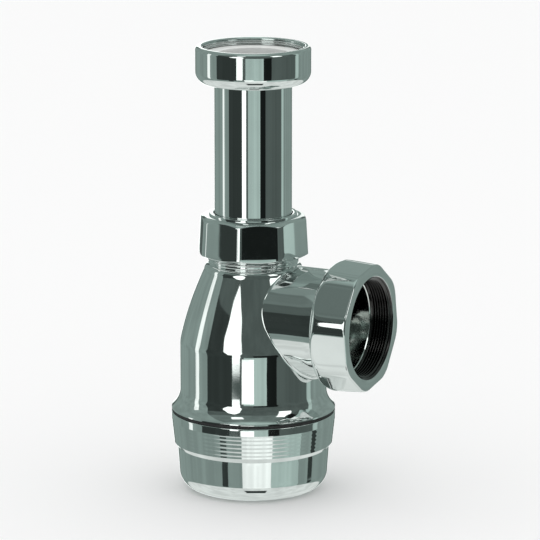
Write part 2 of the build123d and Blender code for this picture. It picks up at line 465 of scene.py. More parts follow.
@dataclass(frozen=True)
class Finishes:
    """Every finish on the trap."""

    drawn: bpy.types.Material
    cast: bpy.types.Material
    turned: bpy.types.Material
    inside: bpy.types.Material
    tapped: bpy.types.Material
    rubber: bpy.types.Material
    nylon: bpy.types.Material

    @classmethod
    def build(cls) -> "Finishes":
        """Make the materials."""
        return cls(
            drawn=Finish(
                "drawn_tube_chrome", CHROME, 1.0, 0.02, 0.03, 90.0, 0.004, 60.0, 0.0004, 2500.0
            ).build(),
            cast=Finish(
                "cast_body_chrome", CHROME, 1.0, 0.025, 0.04, 70.0, 0.04, 75.0, 0.0008, 1500.0
            ).build(),
            turned=Finish(
                "turned_nut_chrome", CHROME, 1.0, 0.02, 0.04, 110.0, 0.008, 110.0, 0.0006, 2200.0
            ).build(),
            inside=Finish(
                "plated_inside", PLATED, 1.0, 0.07, 0.07, 160.0, 0.05, 110.0, 0.003, 900.0, 0.7
            ).build(),
            # the threaded mouth's near-black colour is painted shade for the dark inside its recess
            tapped=Finish(
                "tapped_inside", TAPPED_PAINTED_SHADE, 1.0, 0.09, 0.06, 200.0, 0.01, 200.0, 0.001, 900.0
            ).build(),
            rubber=Finish(
                "black_rubber_ring", RUBBER, 0.0, 0.5, 0.2, 300.0, 0.01, 300.0, 0.006, 2600.0, 0.7
            ).build(),
            nylon=Finish(
                "white_nylon_washer", NYLON, 0.0, 0.34, 0.14, 220.0, 0.008, 150.0, 0.003, 1800.0, 0.95
            ).build(),
        )


class ThreadTree:
    """The Geometry Nodes tree that cuts a helical thread as a closed sleeve."""

    SIZES = (
        ("Root radius", 0.018),
        ("Crest radius", 0.019),
        ("Back radius", 0.017),
        ("Length", 0.01),
        ("Pitch", 0.0015),
        ("Run-out share", 0.08),
    )

    def __init__(self) -> None:
        """Build the tree once for every thread."""
        self.tree = bpy.data.node_groups.new("helical_thread_sleeve", "GeometryNodeTree")
        face = self.tree.interface
        face.new_socket("Geometry", in_out="OUTPUT", socket_type="NodeSocketGeometry")
        for name, size in self.SIZES:
            face.new_socket(name, in_out="INPUT", socket_type="NodeSocketFloat").default_value = size
        for name, number in (("Steps round", 160), ("Steps along", 120)):
            face.new_socket(name, in_out="INPUT", socket_type="NodeSocketInt").default_value = number
        face.new_socket("Finish", in_out="INPUT", socket_type="NodeSocketMaterial")
        self._lay_out()

    def _lay_out(self) -> None:
        """Lay out the nodes: a flat grid is rolled into a sleeve with a wave on one side."""
        bench = Bench(self.tree)
        given = bench.add("NodeGroupInput").outputs
        grid = bench.add("GeometryNodeMeshGrid")
        bench.feed(grid.inputs["Vertices X"], given["Steps round"])
        bench.feed(grid.inputs["Vertices Y"], given["Steps along"])
        split = bench.add("ShaderNodeSeparateXYZ")
        bench.feed(split.inputs[0], grid.outputs["UV Map"])
        around, along = split.outputs[0], split.outputs[1]

        # the first 0.8 of the grid is the threaded side, the rest closes the sleeve behind it
        front = 0.8
        share = bench.math("DIVIDE", along, front, clamp=True)
        back = bench.math("DIVIDE", bench.math("SUBTRACT", along, front), 1 - front, clamp=True)
        is_back = bench.math("GREATER_THAN", along, front)

        phase = bench.math("DIVIDE", bench.math("MULTIPLY", share, given["Length"]), given["Pitch"])
        phase = bench.math("SUBTRACT", phase, around)
        wave = bench.math("COSINE", bench.math("MULTIPLY", phase, math.tau))
        wave = bench.math("MULTIPLY_ADD", wave, -0.5, 0.5)
        wave = bench.math("POWER", wave, 0.7)
        fade_in = bench.math("DIVIDE", share, given["Run-out share"], clamp=True)
        fade_out = bench.math("SUBTRACT", 1.0, share)
        fade_out = bench.math("DIVIDE", fade_out, given["Run-out share"], clamp=True)
        wave = bench.math("MULTIPLY", wave, bench.math("MULTIPLY", fade_in, fade_out))

        height = bench.math("SUBTRACT", given["Crest radius"], given["Root radius"])
        front_r = bench.math("MULTIPLY_ADD", wave, height, given["Root radius"])
        depth = bench.math("SUBTRACT", given["Back radius"], given["Root radius"])
        rise = bench.math("MULTIPLY", back, 4.0, clamp=True)
        fall = bench.math("MULTIPLY", bench.math("SUBTRACT", 1.0, back), 4.0, clamp=True)
        cover = bench.math("MULTIPLY", rise, fall)
        back_r = bench.math("MULTIPLY_ADD", cover, depth, given["Root radius"])
        radius = bench.math(
            "MULTIPLY_ADD", bench.math("SUBTRACT", back_r, front_r), is_back, front_r
        )

        home = bench.math("SUBTRACT", 1.0, bench.math("MULTIPLY_ADD", back, 2.0, -0.5, clamp=True))
        level = bench.math("MULTIPLY_ADD", bench.math("SUBTRACT", home, share), is_back, share)
        level = bench.math("MULTIPLY", level, given["Length"])

        turn = bench.math("MULTIPLY", around, math.tau)
        place = bench.add("ShaderNodeCombineXYZ")
        bench.feed(place.inputs[0], bench.math("MULTIPLY", radius, bench.math("COSINE", turn)))
        bench.feed(place.inputs[1], bench.math("MULTIPLY", radius, bench.math("SINE", turn)))
        bench.feed(place.inputs[2], level)

        moved = bench.add("GeometryNodeSetPosition")
        bench.feed(moved.inputs["Geometry"], grid.outputs["Mesh"])
        bench.feed(moved.inputs["Position"], place.outputs[0])
        sewn = bench.add("GeometryNodeMergeByDistance")
        bench.feed(sewn.inputs["Geometry"], moved.outputs[0])
        sewn.inputs["Distance"].default_value = 1e-6
        real = bench.add("GeometryNodeRealizeInstances")
        bench.feed(real.inputs[0], sewn.outputs[0])
        coated = bench.add("GeometryNodeSetMaterial")
        bench.feed(coated.inputs["Geometry"], real.outputs[0])
        bench.feed(coated.inputs["Material"], given["Finish"])
        bench.feed(bench.add("NodeGroupOutput").inputs[0], coated.outputs[0])

    def _set(self, modifier: bpy.types.NodesModifier, name: str, value: object) -> None:
        """Give one of the tree's named inputs a value, by its identifier."""
        for item in self.tree.interface.items_tree:
            if item.name == name and item.in_out == "INPUT":
                modifier[item.identifier] = value

    def cut(self, thread: "Thread", finish: bpy.types.Material) -> bpy.types.Mesh:
        """Make one thread as a plain mesh.

        Args:
            thread: The thread's sizes and place.
            finish: The material of the thread.

        Returns:
            The mesh, in place and in metres.
        """
        holder = bpy.data.objects.new("thread_blank", bpy.data.meshes.new("thread_blank"))
        bpy.context.scene.collection.objects.link(holder)
        modifier = holder.modifiers.new("thread", "NODES")
        modifier.node_group = self.tree
        inward = thread.facing is Facing.INWARD
        for name, value in (
            ("Root radius", thread.root_r),
            ("Crest radius", thread.crest_r),
            ("Back radius", thread.root_r + (0.5 if inward else -0.5)),
            ("Length", thread.length),
            ("Pitch", thread.pitch),
        ):
            self._set(modifier, name, value * MM)
        self._set(modifier, "Run-out share", thread.run_out)
        self._set(modifier, "Steps round", thread.steps_round)
        self._set(modifier, "Steps along", thread.steps_along)
        self._set(modifier, "Finish", finish)
        seen = holder.evaluated_get(bpy.context.evaluated_depsgraph_get())
        mesh = bpy.data.meshes.new_from_object(seen)
        bpy.data.objects.remove(holder)
        mesh.transform(Matrix.Translation(Vector(thread.foot) * MM) @ thread.axis_turn())
        return mesh


@dataclass(frozen=True)
class Thread:
    """One helical thread, in millimetres."""

    root_r: float
    crest_r: float
    length: float
    pitch: float
    foot: tuple[float, float, float]
    facing: Facing = Facing.OUTWARD
    along_x: bool = False
    run_out: float = 0.08
    steps_round: int = 161
    steps_along: int = 121

    def axis_turn(self) -> Matrix:
        """Give the turn that lays the thread along its axis."""
        return Matrix.Rotation(math.radians(90), 4, "Y") if self.along_x else Matrix.Identity(4)


def join_threads(
    name: str, meshes: list[bpy.types.Mesh], coats: list[bpy.types.Material]
) -> bpy.types.Object:
    """Join the threads of one body into one piece.

    Args:
        name: Name of the piece.
        meshes: The threads.
        coats: The finish of each thread.

    Returns:
        The object.
    """
    whole = bmesh.new()
    for number, mesh in enumerate(meshes):
        mesh.polygons.foreach_set("material_index", [number] * len(mesh.polygons))
        whole.from_mesh(mesh)
    bmesh.ops.remove_doubles(whole, verts=whole.verts, dist=1e-7)
    bmesh.ops.recalc_face_normals(whole, faces=whole.faces)
    joined = bpy.data.meshes.new(name)
    whole.to_mesh(joined)
    whole.free()
    for coat in coats:
        joined.materials.append(coat)
    joined.shade_smooth()
    joined.set_sharp_from_angle(angle=math.radians(50))
    piece = bpy.data.objects.new(name, joined)
    bpy.context.scene.collection.objects.link(piece)
    return piece


def hand_over(
    piece: bpy.types.Object,
    body: str,
    finish: bpy.types.Material | None = None,
    node: str | None = None,
) -> bpy.types.Object:
    """Coat a finished piece, tie it to its body and report it.

    Args:
        piece: The finished piece.
        body: The CAD body it rides on.
        finish: Its material, if it has none yet.
        node: The CAD node it stands for, if any.

    Returns:
        The piece.
    """
    if finish is not None:
        piece.data.materials.clear()
        piece.data.materials.append(finish)
    if node is not None:
        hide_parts(node)
    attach(piece, body)
    LOG.info("%s: %d faces on %s", piece.name, len(piece.data.polygons), body)
    return piece


@dataclass
class Bowl:
    """The screw-off bowl and the gasket on its rim."""

    floor_r: float = 22.9
    corner_r: float = 8.0
    wall_low_r: float = 30.9
    wall_top_r: float = 31.6
    step_low_z: float = 18.2
    step_high_z: float = 19.9
    band_low_r: float = 33.0
    band_full_z: float = 29.8
    rim_r: float = 34.09
    rim_z: float = 33.0
    wall: float = 2.6
    floor: float = 3.0
    thread_r: float = 31.15
    ledge_z: float = 21.8
    wave_height: float = 0.007
    wave_pitch: float = 1.7
    wave_count: int = 6
    gasket_r: float = 33.9
    gasket_bore_r: float = 31.3
    gasket_low_z: float = 33.05
    gasket_high_z: float = 34.35

    def section(self) -> Outline:
        """Draw the bowl's section, from the middle of its underside round to the inside."""
        inner_r = self.wall_low_r - self.wall
        inner_corner = self.corner_r - self.wall
        outline = Outline(0.001, 0.0).to(self.floor_r, 0.0, 4)
        outline.leaving((1, 0), (self.wall_low_r, self.corner_r), 20)
        outline.to(self.wall_top_r, self.step_low_z, 6).to(self.band_low_r, self.step_high_z, 3)
        steps = 84
        start_r, start_z = outline.points[-1]
        for step in range(1, steps + 1):
            share = step / steps
            level = share * (self.band_full_z + 1.4 - start_z)
            radius = min(
                start_r + (self.rim_r - start_r) * level / (self.band_full_z - start_z), self.rim_r
            )
            ripples = level / self.wave_pitch
            fade = min(1.0, ripples * 2, max(0.0, (self.wave_count - ripples) * 2))
            radius -= self.wave_height * fade * (1 - math.cos(math.tau * ripples))
            outline.points.append((radius, start_z + level))
        outline.to(self.rim_r, self.rim_z, 2)
        outline.to(self.thread_r, self.rim_z).to(self.thread_r, self.ledge_z, 4)
        outline.to(self.wall_top_r - self.wall, self.ledge_z)
        outline.to(self.wall_top_r - self.wall, self.step_low_z)
        outline.to(inner_r, self.floor + inner_corner, 4)
        outline.leaving((0, -1), (inner_r - inner_corner, self.floor), 12)
        outline.to(0.001, self.floor, 3)
        outline.soften((self.wall_top_r, self.step_low_z), 0.5)
        outline.soften((self.band_low_r, self.step_high_z), 0.5)
        outline.soften((self.rim_r, self.rim_z), 0.35)
        outline.soften((self.thread_r, self.rim_z), 0.3)
        return outline

    def gasket_section(self) -> Outline:
        """Draw the gasket's section."""
        outline = Outline(self.gasket_bore_r, self.gasket_low_z)
        outline.to(self.gasket_r, self.gasket_low_z).to(self.gasket_r, self.gasket_high_z)
        outline.to(self.gasket_bore_r, self.gasket_high_z)
        outline.soften((self.gasket_r, self.gasket_low_z), 0.4)
        outline.soften((self.gasket_r, self.gasket_high_z), 0.4)
        return outline

    def build(self, finishes: Finishes, threads: ThreadTree) -> None:
        """Make the bowl, its thread and the gasket."""
        bowl = turn_section("bowl_cup", self.section(), 320)
        hand_over(bowl, "bowl", finishes.cast, "bowl")
        inner = Thread(
            self.thread_r + 0.05,
            self.thread_r - 0.1,
            self.rim_z - self.ledge_z - 1.2,
            3.0,
            (0, 0, self.ledge_z + 0.3),
            Facing.INWARD,
        )
        thread = join_threads(
            "bowl_thread", [threads.cut(inner, finishes.inside)], [finishes.inside]
        )
        hand_over(thread, "bowl")
        gasket = turn_section("rim_gasket", self.gasket_section(), 256, 60)
        hand_over(gasket, "gasket", finishes.rubber, "bowl_gasket")


@dataclass
class TrapBody:
    """The casting: a domed body, the neck, the outlet branch and the collar round its mouth."""

    flange_r: float = 34.09
    flange_z: float = 34.4
    flange_lip: float = 0.5
    body_r: float = 30.5
    flare_mid: Point = (31.44, 38.36)
    flare_top_z: float = 42.6
    cylinder_top_z: float = 61.5
    dome_foot: Point = (30.19, 64.4)
    dome_low: Point = (28.3, 72.0)
    dome_mid: Point = (24.95, 82.2)
    dome_top: Point = (20.4, 93.3)
    shoulder: Point = (19.7, 95.0)
    neck_foot_z: float = 95.8
    neck_r: float = 18.4
    neck_top_z: float = 107.6
    neck_crest_r: float = 18.75
    neck_pitch: float = 1.5
    spigot_r: float = 31.0
    spigot_bore_r: float = 28.0
    spigot_low_z: float = 23.2
    wall: float = 2.5
    roof: Point = (20.2, 87.0)
    socket_r: float = 18.5
    socket_top_z: float = 92.6
    bore_r: float = 16.35
    seat_low_z: float = 105.8
    seat_flare: float = 1.4
    outlet_z: float = 73.2
    branch_r: float = 22.4
    branch_bore_r: float = 19.4
    bore_start_x: float = 20.6
    fillet_r: float = 1.6
    collar_back_x: float = 37.0
    collar_back_mid: Point = (38.4, 26.0)
    collar_full_x: float = 41.5
    collar_r: float = 27.1
    collar_dome_x: float = 51.2
    collar_front_x: float = 54.1
    collar_front_r: float = 26.1
    collar_edge: float = 0.8
    collar_apothem: float = 26.3
    collar_draft_deg: float = 3.5
    collar_turn_deg: float = -13.0
    collar_corner: float = 12.0
    collar_sides: int = 8
    collar_edge_softness: float = 0.09
    step_x: float = 44.4
    mouth_r: float = 20.95
    mouth_chamfer: float = 0.5
    drill_r: float = 20.9
    drill_end_x: float = 46.0
    columns: int = 480

    def outer_points(self) -> Outline:
        """Draw the outside of the casting, from the flange up to the top of the neck."""
        lip_z = self.flange_z + self.flange_lip
        outline = Outline(self.flange_r, self.flange_z).to(self.flange_r, lip_z)
        outline.through(self.flare_mid, (self.body_r, self.flare_top_z), 18)
        outline.to(self.body_r, self.cylinder_top_z, 8)
        outline.leaving((0, 1), self.dome_foot, 10).onward(self.dome_low, 12)
        outline.onward(self.dome_mid, 14).onward(self.dome_top, 14)
        outline.through(self.shoulder, (self.neck_r, self.neck_foot_z), 8)
        return outline.to(self.neck_r, self.neck_top_z, 10)

    def section(self) -> Outline:
        """Draw the casting's whole section."""
        outline = Outline(self.spigot_bore_r, self.spigot_low_z)
        outline.to(self.spigot_r - 0.75, self.spigot_low_z)
        outline.to(self.spigot_r - 0.75, self.flange_z)
        outline.points += self.outer_points().points
        outline.to(self.bore_r + self.seat_flare, self.neck_top_z)
        outline.to(self.bore_r, self.seat_low_z).to(self.bore_r, self.socket_top_z, 3)
        outline.to(self.socket_r, self.socket_top_z).to(self.socket_r, self.roof[1]).to(*self.roof)
        outline.to(self.dome_mid[0] - self.wall, self.dome_mid[1], 4)
        outline.to(self.dome_low[0] - self.wall, self.dome_low[1], 4)
        outline.to(self.body_r - self.wall, self.cylinder_top_z, 4)
        outline.to(self.spigot_bore_r, self.spigot_low_z + 1, 8)
        outline.soften((self.flange_r, self.flange_z + self.flange_lip), 0.4)
        outline.soften((self.neck_r, self.neck_top_z), 0.3)
        return outline

    def wall_radius(self, height: np.ndarray) -> np.ndarray:
        """Give the chamber's inner radius at each height."""
        levels = [self.spigot_low_z, self.cylinder_top_z, self.dome_low[1], self.dome_mid[1]]
        radii = [
            self.spigot_bore_r,
            self.body_r - self.wall,
            self.dome_low[0] - self.wall,
            self.dome_mid[0] - self.wall,
        ]
        levels += [self.roof[1], self.neck_top_z]
        radii += [self.roof[0], self.roof[0]]
        return np.interp(height, levels, radii)

    def rolling_ball(self, angle: np.ndarray) -> tuple[np.ndarray, np.ndarray]:
        """Find where a ball of the fillet's size rests between the branch and the body.

        Args:
            angle: Angles round the branch, from +Y towards +Z.

        Returns:
            The ball's centres, and the body's outward normals where the balls touch it.
        """
        skin = np.array(self.outer_points().points)
        reach = self.branch_r + self.fillet_r
        side, height = reach * np.cos(angle), self.outlet_z + reach * np.sin(angle)
        fine = np.linspace(0, len(skin) - 1, 6 * len(skin))
        skin_r = np.interp(fine, np.arange(len(skin)), skin[:, 0])
        skin_z = np.interp(fine, np.arange(len(skin)), skin[:, 1])
        gap = height[:, None] - skin_z[None, :]
        lift = np.sqrt(np.maximum(self.fillet_r**2 - gap**2, 0))
        candidates = np.where(np.abs(gap) < self.fillet_r, skin_r[None, :] + lift, 0)
        nearest = candidates.argmax(axis=1)
        ball_r = candidates.max(axis=1)
        forward = np.sqrt(ball_r**2 - side**2)
        centres = np.stack([forward, side, height], axis=1)
        out_r = (ball_r - skin_r[nearest]) / self.fillet_r
        out_z = (height - skin_z[nearest]) / self.fillet_r
        normals = np.stack([out_r * forward / ball_r, out_r * side / ball_r, out_z], axis=1)
        return centres, normals / np.linalg.norm(normals, axis=1)[:, None]

    def sleeve_rows(self) -> np.ndarray:
        """Lay out the rings of the branch and collar, from the body out and back through the bore.

        Returns:
            Array of rings by columns by xyz, in millimetres.
        """
        angle = np.arange(self.columns) / self.columns * math.tau
        across, upward = np.cos(angle), np.sin(angle)
        spoke = np.stack([np.zeros_like(angle), across, upward], axis=1)

        def ring(x: np.ndarray | float, radius: np.ndarray | float) -> np.ndarray:
            """Place one ring round the outlet's axis."""
            points = np.empty((self.columns, 3))
            points[:, 0] = x
            points[:, 1] = radius * across
            points[:, 2] = self.outlet_z + radius * upward
            return points

        centres, resting = self.rolling_ball(angle)
        rows = [centres - resting * (self.fillet_r + 1.0)]
        steps = 14
        dots = np.clip((resting * spoke).sum(axis=1), -1, 1)
        open_angle = np.arccos(dots)[:, None]
        for step in range(steps + 1):
            share = step / steps
            lean = (
                np.sin((1 - share) * open_angle) * resting + np.sin(share * open_angle) * spoke
            ) / np.sin(open_angle)
            rows.append(centres - lean * self.fillet_r)
        for share in (0.25, 0.5, 0.75):
            x = centres[:, 0] + (self.collar_back_x - 0.5 - centres[:, 0]) * share
            rows.append(ring(x, self.branch_r))

        # the collar is a turned barrel cut by eight drafted flats
        barrel = Outline(self.collar_back_x - 0.5, self.branch_r)
        barrel.leaving((1, 0), (self.collar_back_x + 0.05, self.branch_r + 0.55), 5)
        barrel.through(self.collar_back_mid, (self.collar_full_x, self.collar_r), 16)
        barrel.to(self.collar_dome_x, self.collar_r, 24)
        barrel.leaving((1, 0), (self.collar_front_x - self.collar_edge, self.collar_front_r + 0.4), 16)
        slope = math.tan(math.radians(self.collar_draft_deg))
        for x, radius in barrel.points:
            apothem = self.collar_apothem - max(x - self.collar_back_x, 0) * slope
            flats = polygon_radius(
                angle,
                apothem,
                self.collar_sides,
                math.radians(self.collar_turn_deg),
                self.collar_corner,
            )
            trimmed = soft_min(radius, flats, self.collar_edge_softness)
            rows.append(ring(x, np.where(radius < self.branch_r + 1, radius, trimmed)))
        edge = np.linalg.norm(rows[-1][:, 1:] - [0, self.outlet_z], axis=1)
        for turn_deg in range(15, 91, 15):
            turn = math.radians(turn_deg)
            shrink = self.collar_edge * (1 - math.cos(turn))
            set_back = self.collar_edge * (1 - math.sin(turn))
            rows.append(ring(self.collar_front_x - set_back, edge - shrink))
        face = (edge - self.collar_edge + self.mouth_r + self.mouth_chamfer) / 2
        rows.append(ring(self.collar_front_x, face))
        rows.append(ring(self.collar_front_x, self.mouth_r + self.mouth_chamfer + 0.15))
        rows.append(ring(self.collar_front_x - 0.12, self.mouth_r + self.mouth_chamfer - 0.05))
        rows.append(ring(self.collar_front_x - self.mouth_chamfer, self.mouth_r))
        rows.append(ring(self.collar_front_x - self.mouth_chamfer - 0.05, self.mouth_r + 0.1))
        rows.append(ring(self.step_x, self.mouth_r + 0.1))
        rows.append(ring(self.step_x, self.branch_bore_r + 0.3))
        rows.append(ring(self.step_x - 0.3, self.branch_bore_r))

        def inner_x(radius: float) -> np.ndarray:
            """Find where the bore comes out of the chamber's wall."""
            room = self.wall_radius(self.outlet_z + radius * upward) ** 2 - (radius * across) ** 2
            return np.maximum(np.sqrt(np.maximum(room, 0)) - 0.2, self.bore_start_x - 0.3)

        start = inner_x(self.branch_bore_r)
        rows.append(ring((start + self.step_x) / 2, self.branch_bore_r))
        rows.append(ring(start, self.branch_bore_r))
        rows.append(ring(inner_x(self.branch_bore_r + 1.8), self.branch_bore_r + 1.8))
        return np.array(rows)

    def casting(self) -> bpy.types.Object:
        """Make the turned part of the casting, opened where the branch leaves it."""
        body = turn_section("casting", self.section(), 320)
        turn = np.arange(96) / 96 * math.tau
        start_x, end_x = self.bore_start_x, self.drill_end_x
        rings = []
        for x, r in ((start_x, 0.01), (start_x, self.drill_r), (end_x, self.drill_r), (end_x, 0.01)):
            along, height = np.full_like(turn, x), self.outlet_z + r * np.sin(turn)
            rings.append(np.stack([along, r * np.cos(turn), height], axis=1))
        drill = shell_from_rows("drill", np.array(rings))
        cut = body.modifiers.new("outlet", "BOOLEAN")
        cut.operation = "DIFFERENCE"
        cut.solver = "EXACT"
        cut.object = drill
        seen = body.evaluated_get(bpy.context.evaluated_depsgraph_get())
        opened = bpy.data.meshes.new_from_object(seen)
        body.modifiers.remove(cut)
        body.data = opened
        bpy.data.objects.remove(drill)
        opened.shade_smooth()
        opened.set_sharp_from_angle(angle=math.radians(32))
        return body

    def coat_inside(self, piece: bpy.types.Object, finishes: Finishes) -> None:
        """Give the faces of the waterway and of the threaded mouth their own finishes. The mouth's
        near-black colour is painted shade for the dark inside its recess.

        Args:
            piece: The casting or its branch.
            finishes: The trap's finishes.
        """
        piece.data.materials.append(finishes.inside)
        piece.data.materials.append(finishes.tapped)
        skin = np.array(self.outer_points().points)
        for face in piece.data.polygons:
            x, y, z = face.center / MM
            off_outlet = math.hypot(y, z - self.outlet_z)
            off_axis = math.hypot(x, y)
            in_bore = self.bore_start_x < x < self.step_x + 0.1 and off_outlet < self.mouth_r + 0.3
            # faces inside the threaded mouth take the near-black painted shade
            tapped = self.step_x < x < self.collar_front_x - 0.3 and off_outlet < self.mouth_r + 0.3
            in_chamber = x < self.collar_back_x and off_axis < np.interp(z, skin[:, 1], skin[:, 0]) - 0.9
            if tapped:
                face.material_index = 2
            elif in_bore or (in_chamber and z > self.spigot_low_z):
                face.material_index = 1

    def build(self, finishes: Finishes, threads: ThreadTree) -> None:
        """Make the casting, the branch with its collar, and the threads."""
        body = self.casting()
        hand_over(body, "trap", finishes.cast, "trap_body")
        self.coat_inside(body, finishes)
        branch = shell_from_rows("outlet_branch", self.sleeve_rows(), 34)
        hand_over(branch, "trap", finishes.cast, "trap_body")
        self.coat_inside(branch, finishes)
        neck = Thread(
            self.neck_r - 0.15,
            self.neck_crest_r,
            self.neck_top_z - self.neck_foot_z - 0.4,
            self.neck_pitch,
            (0, 0, self.neck_foot_z),
            run_out=0.03,
            steps_along=161,
        )
        spigot = Thread(
            self.spigot_r - 0.7,
            self.spigot_r,
            self.flange_z - self.spigot_low_z - 1.2,
            3.0,
            (0, 0, self.spigot_low_z + 0.2),
            run_out=0.12,
        )
        mouth = Thread(
            self.mouth_r,
            self.mouth_r - 1.15,
            self.collar_front_x - self.mouth_chamfer - self.step_x - 0.4,
            SHOWN_PITCH,
            (self.step_x + 0.3, 0, self.outlet_z),
            Facing.INWARD,
            along_x=True,
            run_out=0.1,
            steps_round=241,
            steps_along=161,
        )
        coats = [finishes.turned, finishes.turned, finishes.tapped]
        cut = [threads.cut(*pair) for pair in zip((neck, spigot, mouth), coats)]
        hand_over(join_threads("casting_threads", cut, coats), "trap")


@dataclass
class DipTube:
    """The tube that dips into the water in the bowl."""

    outer_r: float = 18.45
    wall: float = 1.8
    low_z: float = 10.0
    top_z: float = 92.6

    def build(self, finishes: Finishes) -> None:
        """Make the dip tube."""
        outline = Outline(self.outer_r - self.wall, self.low_z).to(self.outer_r, self.low_z)
        outline.to(self.outer_r, self.top_z, 12).to(self.outer_r - self.wall, self.top_z)
        outline.to(self.outer_r - self.wall, self.low_z, 12)
        outline.soften((self.outer_r, self.low_z), 0.4)
        tube = turn_section("dip_pipe", outline, 192)
        hand_over(tube, "trap", finishes.drawn, "dip_tube")


@dataclass
class CompressionNut:
    """The eight-sided nut on the neck, with the ring and the cone seal under it."""

    bottom_z: float = 98.9
    foot_r: float = 20.4
    foot_taper: float = 2.0
    corner_r: float = 24.03
    apothem: float = 22.2
    corner_rounding: float = 5.5
    turn_deg: float = -34.8
    sides: int = 8
    crown_low_z: float = 111.6
    crown_mid: Point = (22.3, 114.7)
    crown_top_z: float = 116.1
    rim_r: float = 18.2
    rim_z: float = 117.0
    bore_r: float = 16.35
    roof_z: float = 111.2
    thread_r: float = 18.9
    draft: float = 1.0
    flat_bulge: float = 0.3
    edge_softness: float = 0.07
    columns: int = 480

    def section(self) -> Outline:
        """Draw the nut as it would be turned, before its flats are cut."""
        outline = Outline(self.thread_r, self.bottom_z).to(self.foot_r, self.bottom_z, 2)
        outline.to(self.corner_r, self.bottom_z + self.foot_taper, 20)
        outline.to(self.corner_r, self.crown_low_z, 10)
        outline.through(self.crown_mid, (self.rim_r, self.crown_top_z), 34)
        outline.to(self.rim_r, self.rim_z).to(self.bore_r, self.rim_z)
        outline.to(self.bore_r, self.roof_z, 2).to(self.thread_r, self.roof_z)
        outline.to(self.thread_r, self.bottom_z, 3)
        outline.points.pop()
        outline.soften((self.rim_r, self.rim_z), 0.25)
        outline.soften((self.bore_r, self.rim_z), 0.2)
        return outline

    def build(self, finishes: Finishes) -> None:
        """Make the nut and dress the two rings it hides."""
        section = np.array(self.section().points)
        angle = np.arange(self.columns) / self.columns * math.tau
        flats = polygon_radius(
            angle,
            self.apothem,
            self.sides,
            math.radians(self.turn_deg),
            self.corner_rounding,
        )
        # polishing leaves each flat a little drawn in at its top and at its two edges
        half = math.pi / self.sides
        off_middle = (angle - math.radians(self.turn_deg)) % (2 * half) / half - 1
        flats -= self.flat_bulge * off_middle**2
        rows = np.empty((len(section), self.columns, 3))
        for row, (radius, height) in enumerate(section):
            rise = (height - self.bottom_z - self.foot_taper) / (self.crown_top_z - self.bottom_z)
            drawn_in = flats - self.draft * min(max(rise, 0), 1)
            trimmed = soft_min(radius, drawn_in, self.edge_softness)
            rows[row, :, 0] = trimmed * np.cos(angle)
            rows[row, :, 1] = trimmed * np.sin(angle)
            rows[row, :, 2] = height
        nut = shell_from_rows("neck_nut", rows, 34)
        hand_over(nut, "compression_nut", finishes.turned, "compression_nut")
        dress_node("slip_ring", finishes.nylon)
        dress_node("cone_seal", finishes.rubber)


@dataclass
class InletTube:
    """The upright tube, turned out at its top into a flange for the washer."""

    outer_r: float = 16.0
    wall: float = 1.0
    low_z: float = 60.0
    top_z: float = 180.4
    flange_r: float = 19.6
    flange_thickness: float = 1.5

    def build(self, finishes: Finishes) -> None:
        """Make the tube."""
        bore_r = self.outer_r - self.wall
        flange_z = self.top_z - self.flange_thickness
        outline = Outline(bore_r, self.low_z).to(self.outer_r, self.low_z)
        outline.to(self.outer_r, flange_z, 24).to(self.flange_r, flange_z)
        outline.to(self.flange_r, self.top_z).to(bore_r, self.top_z).to(bore_r, self.low_z, 24)
        outline.points.pop()
        outline.soften((self.outer_r, self.low_z), 0.25)
        outline.soften((self.outer_r, flange_z), 0.25)
        outline.soften((bore_r, self.top_z), 0.6)
        tube = turn_section("inlet_pipe", outline, 256)
        hand_over(tube, "inlet_tube", finishes.drawn, "inlet_tube")


